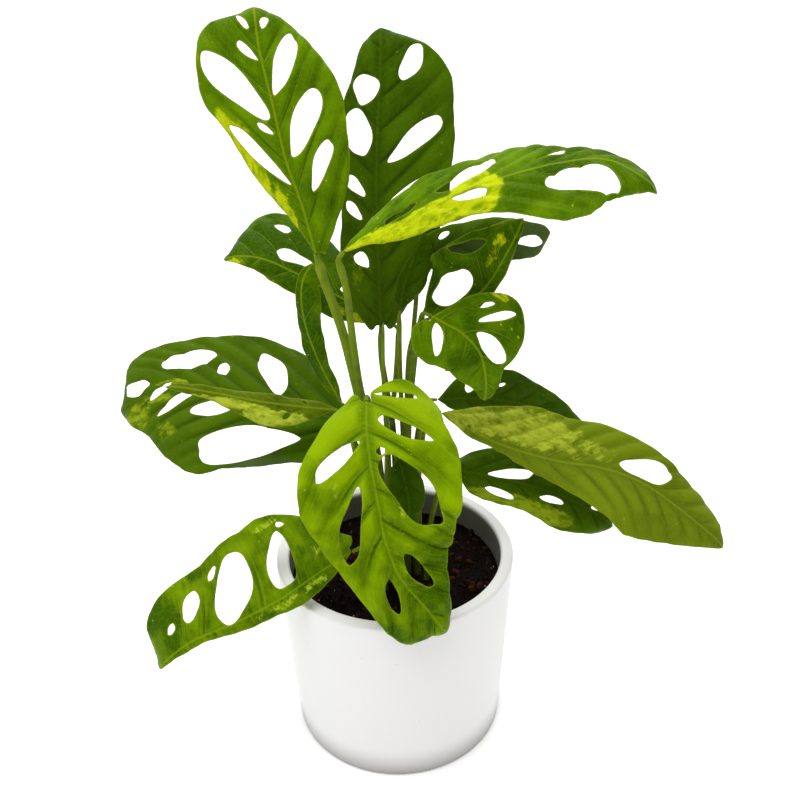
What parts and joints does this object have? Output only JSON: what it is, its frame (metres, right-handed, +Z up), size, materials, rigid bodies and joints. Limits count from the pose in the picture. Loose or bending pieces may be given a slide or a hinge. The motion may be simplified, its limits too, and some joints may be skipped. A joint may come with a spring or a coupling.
{
  "type": "potted plant",
  "caption": "Potted monstera houseplant: broad leaves pierced with oval holes on slender stems, rooted in soil in a plain tapered ceramic pot.",
  "frame": {"origin": "centre of the pot's flat foot, on the surface it stands on", "axes": "+Z up along the pot's axis; -Y toward the full side of the plant that faces the room"},
  "size_m": [0.3463, 0.1721, 0.4193],
  "materials": {
    "pot": "satin white glaze",
    "soil": "loose dark potting soil with bark",
    "leaf_bright": "waxy bright green leaf",
    "leaf_mid": "waxy green leaf",
    "leaf_dark": "waxy dark green leaf",
    "leaf_pale": "pale variegated leaf",
    "stem": "smooth green stem"
  },
  "bodies": {
    "root": {"pot": "pot", "soil": "soil", "leaf_upright": "leaf_mid", "leaf_rear_tall": "leaf_dark", "leaf_right_high": "leaf_mid", "leaf_left_back": "leaf_mid", "leaf_narrow_dark": "leaf_dark", "leaf_oval_window": "leaf_mid", "leaf_grey_green": "leaf_dark", "leaf_right_mid": "leaf_mid", "leaf_right_rear": "leaf_dark", "leaf_right_long": "leaf_pale", "leaf_right_low": "leaf_dark", "leaf_front": "leaf_bright", "leaf_left_low": "leaf_bright", "leaf_left_big": "leaf_dark", "leaf_left_slim": "leaf_pale", "leaf_folded": "leaf_mid", "leaf_small_inner": "leaf_dark", "stem_upright": "stem", "stem_rear_tall": "stem", "stem_right_high": "stem", "stem_left_back": "stem", "stem_narrow_dark": "stem", "stem_oval_window": "stem", "stem_grey_green": "stem", "stem_right_mid": "stem", "stem_right_rear": "stem", "stem_right_long": "stem", "stem_right_low": "stem", "stem_front": "stem", "stem_left_low": "stem", "stem_left_big": "stem", "stem_left_slim": "stem", "stem_folded": "stem", "stem_small_inner": "stem", "new_leaf_spear": "stem"}
  },
  "joints": []
}
